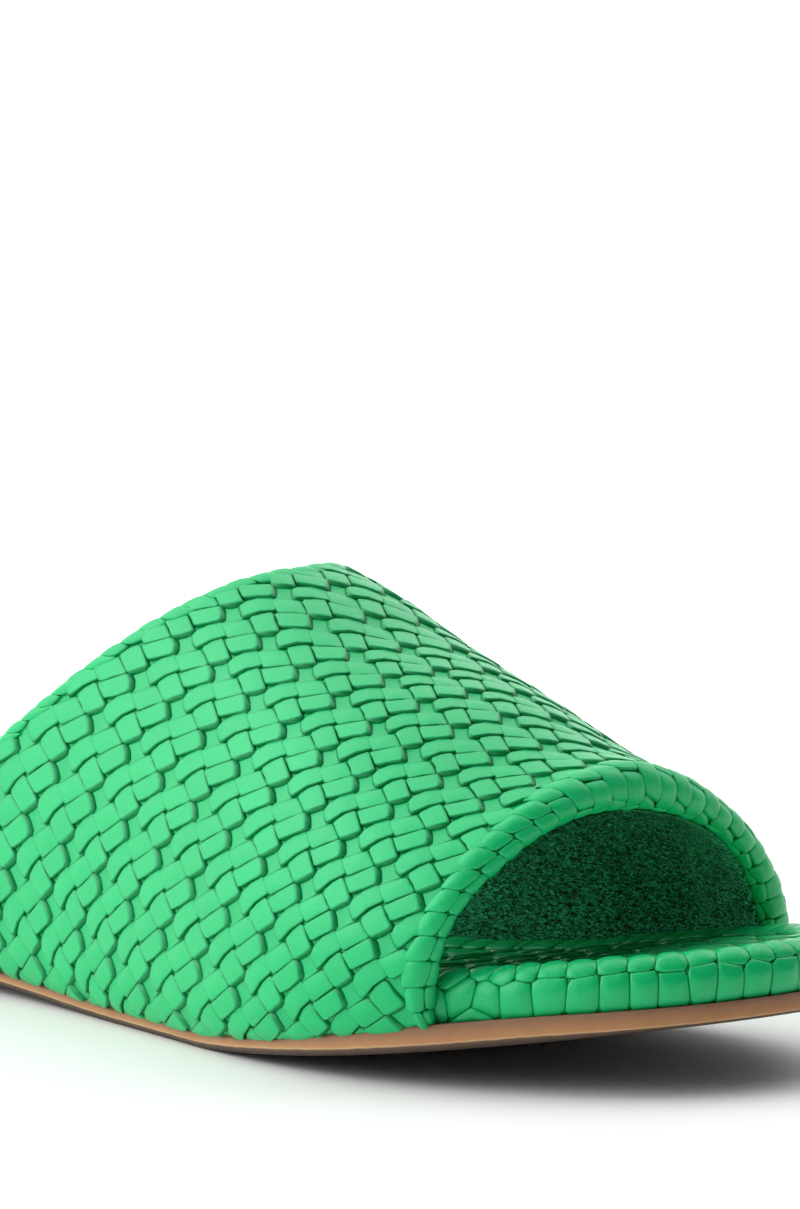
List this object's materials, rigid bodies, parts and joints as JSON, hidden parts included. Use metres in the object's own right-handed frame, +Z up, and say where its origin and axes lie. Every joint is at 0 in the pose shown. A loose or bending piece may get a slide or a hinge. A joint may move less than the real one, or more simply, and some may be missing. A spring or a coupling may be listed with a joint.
{
  "type": "braided flat sandal",
  "caption": "Right-foot flat slide sandal with a wide woven band open at the toe and the back, a woven padded footbed and a thin outsole with a low heel.",
  "frame": {"origin": "middle of the sole's length and width, on the floor", "axes": "+X from heel to toe, -Y to the outer (lateral) side of the foot, +Z up"},
  "size_m": [0.258, 0.0989, 0.0868],
  "materials": {
    "outsole_rubber": "matte tan moulded rubber",
    "footbed_leather": "satin woven leather over foam",
    "band_leather": "satin woven leather, padded"
  },
  "bodies": {
    "root": {"outsole": "outsole_rubber", "footbed": "footbed_leather", "upper": "band_leather"}
  },
  "joints": []
}
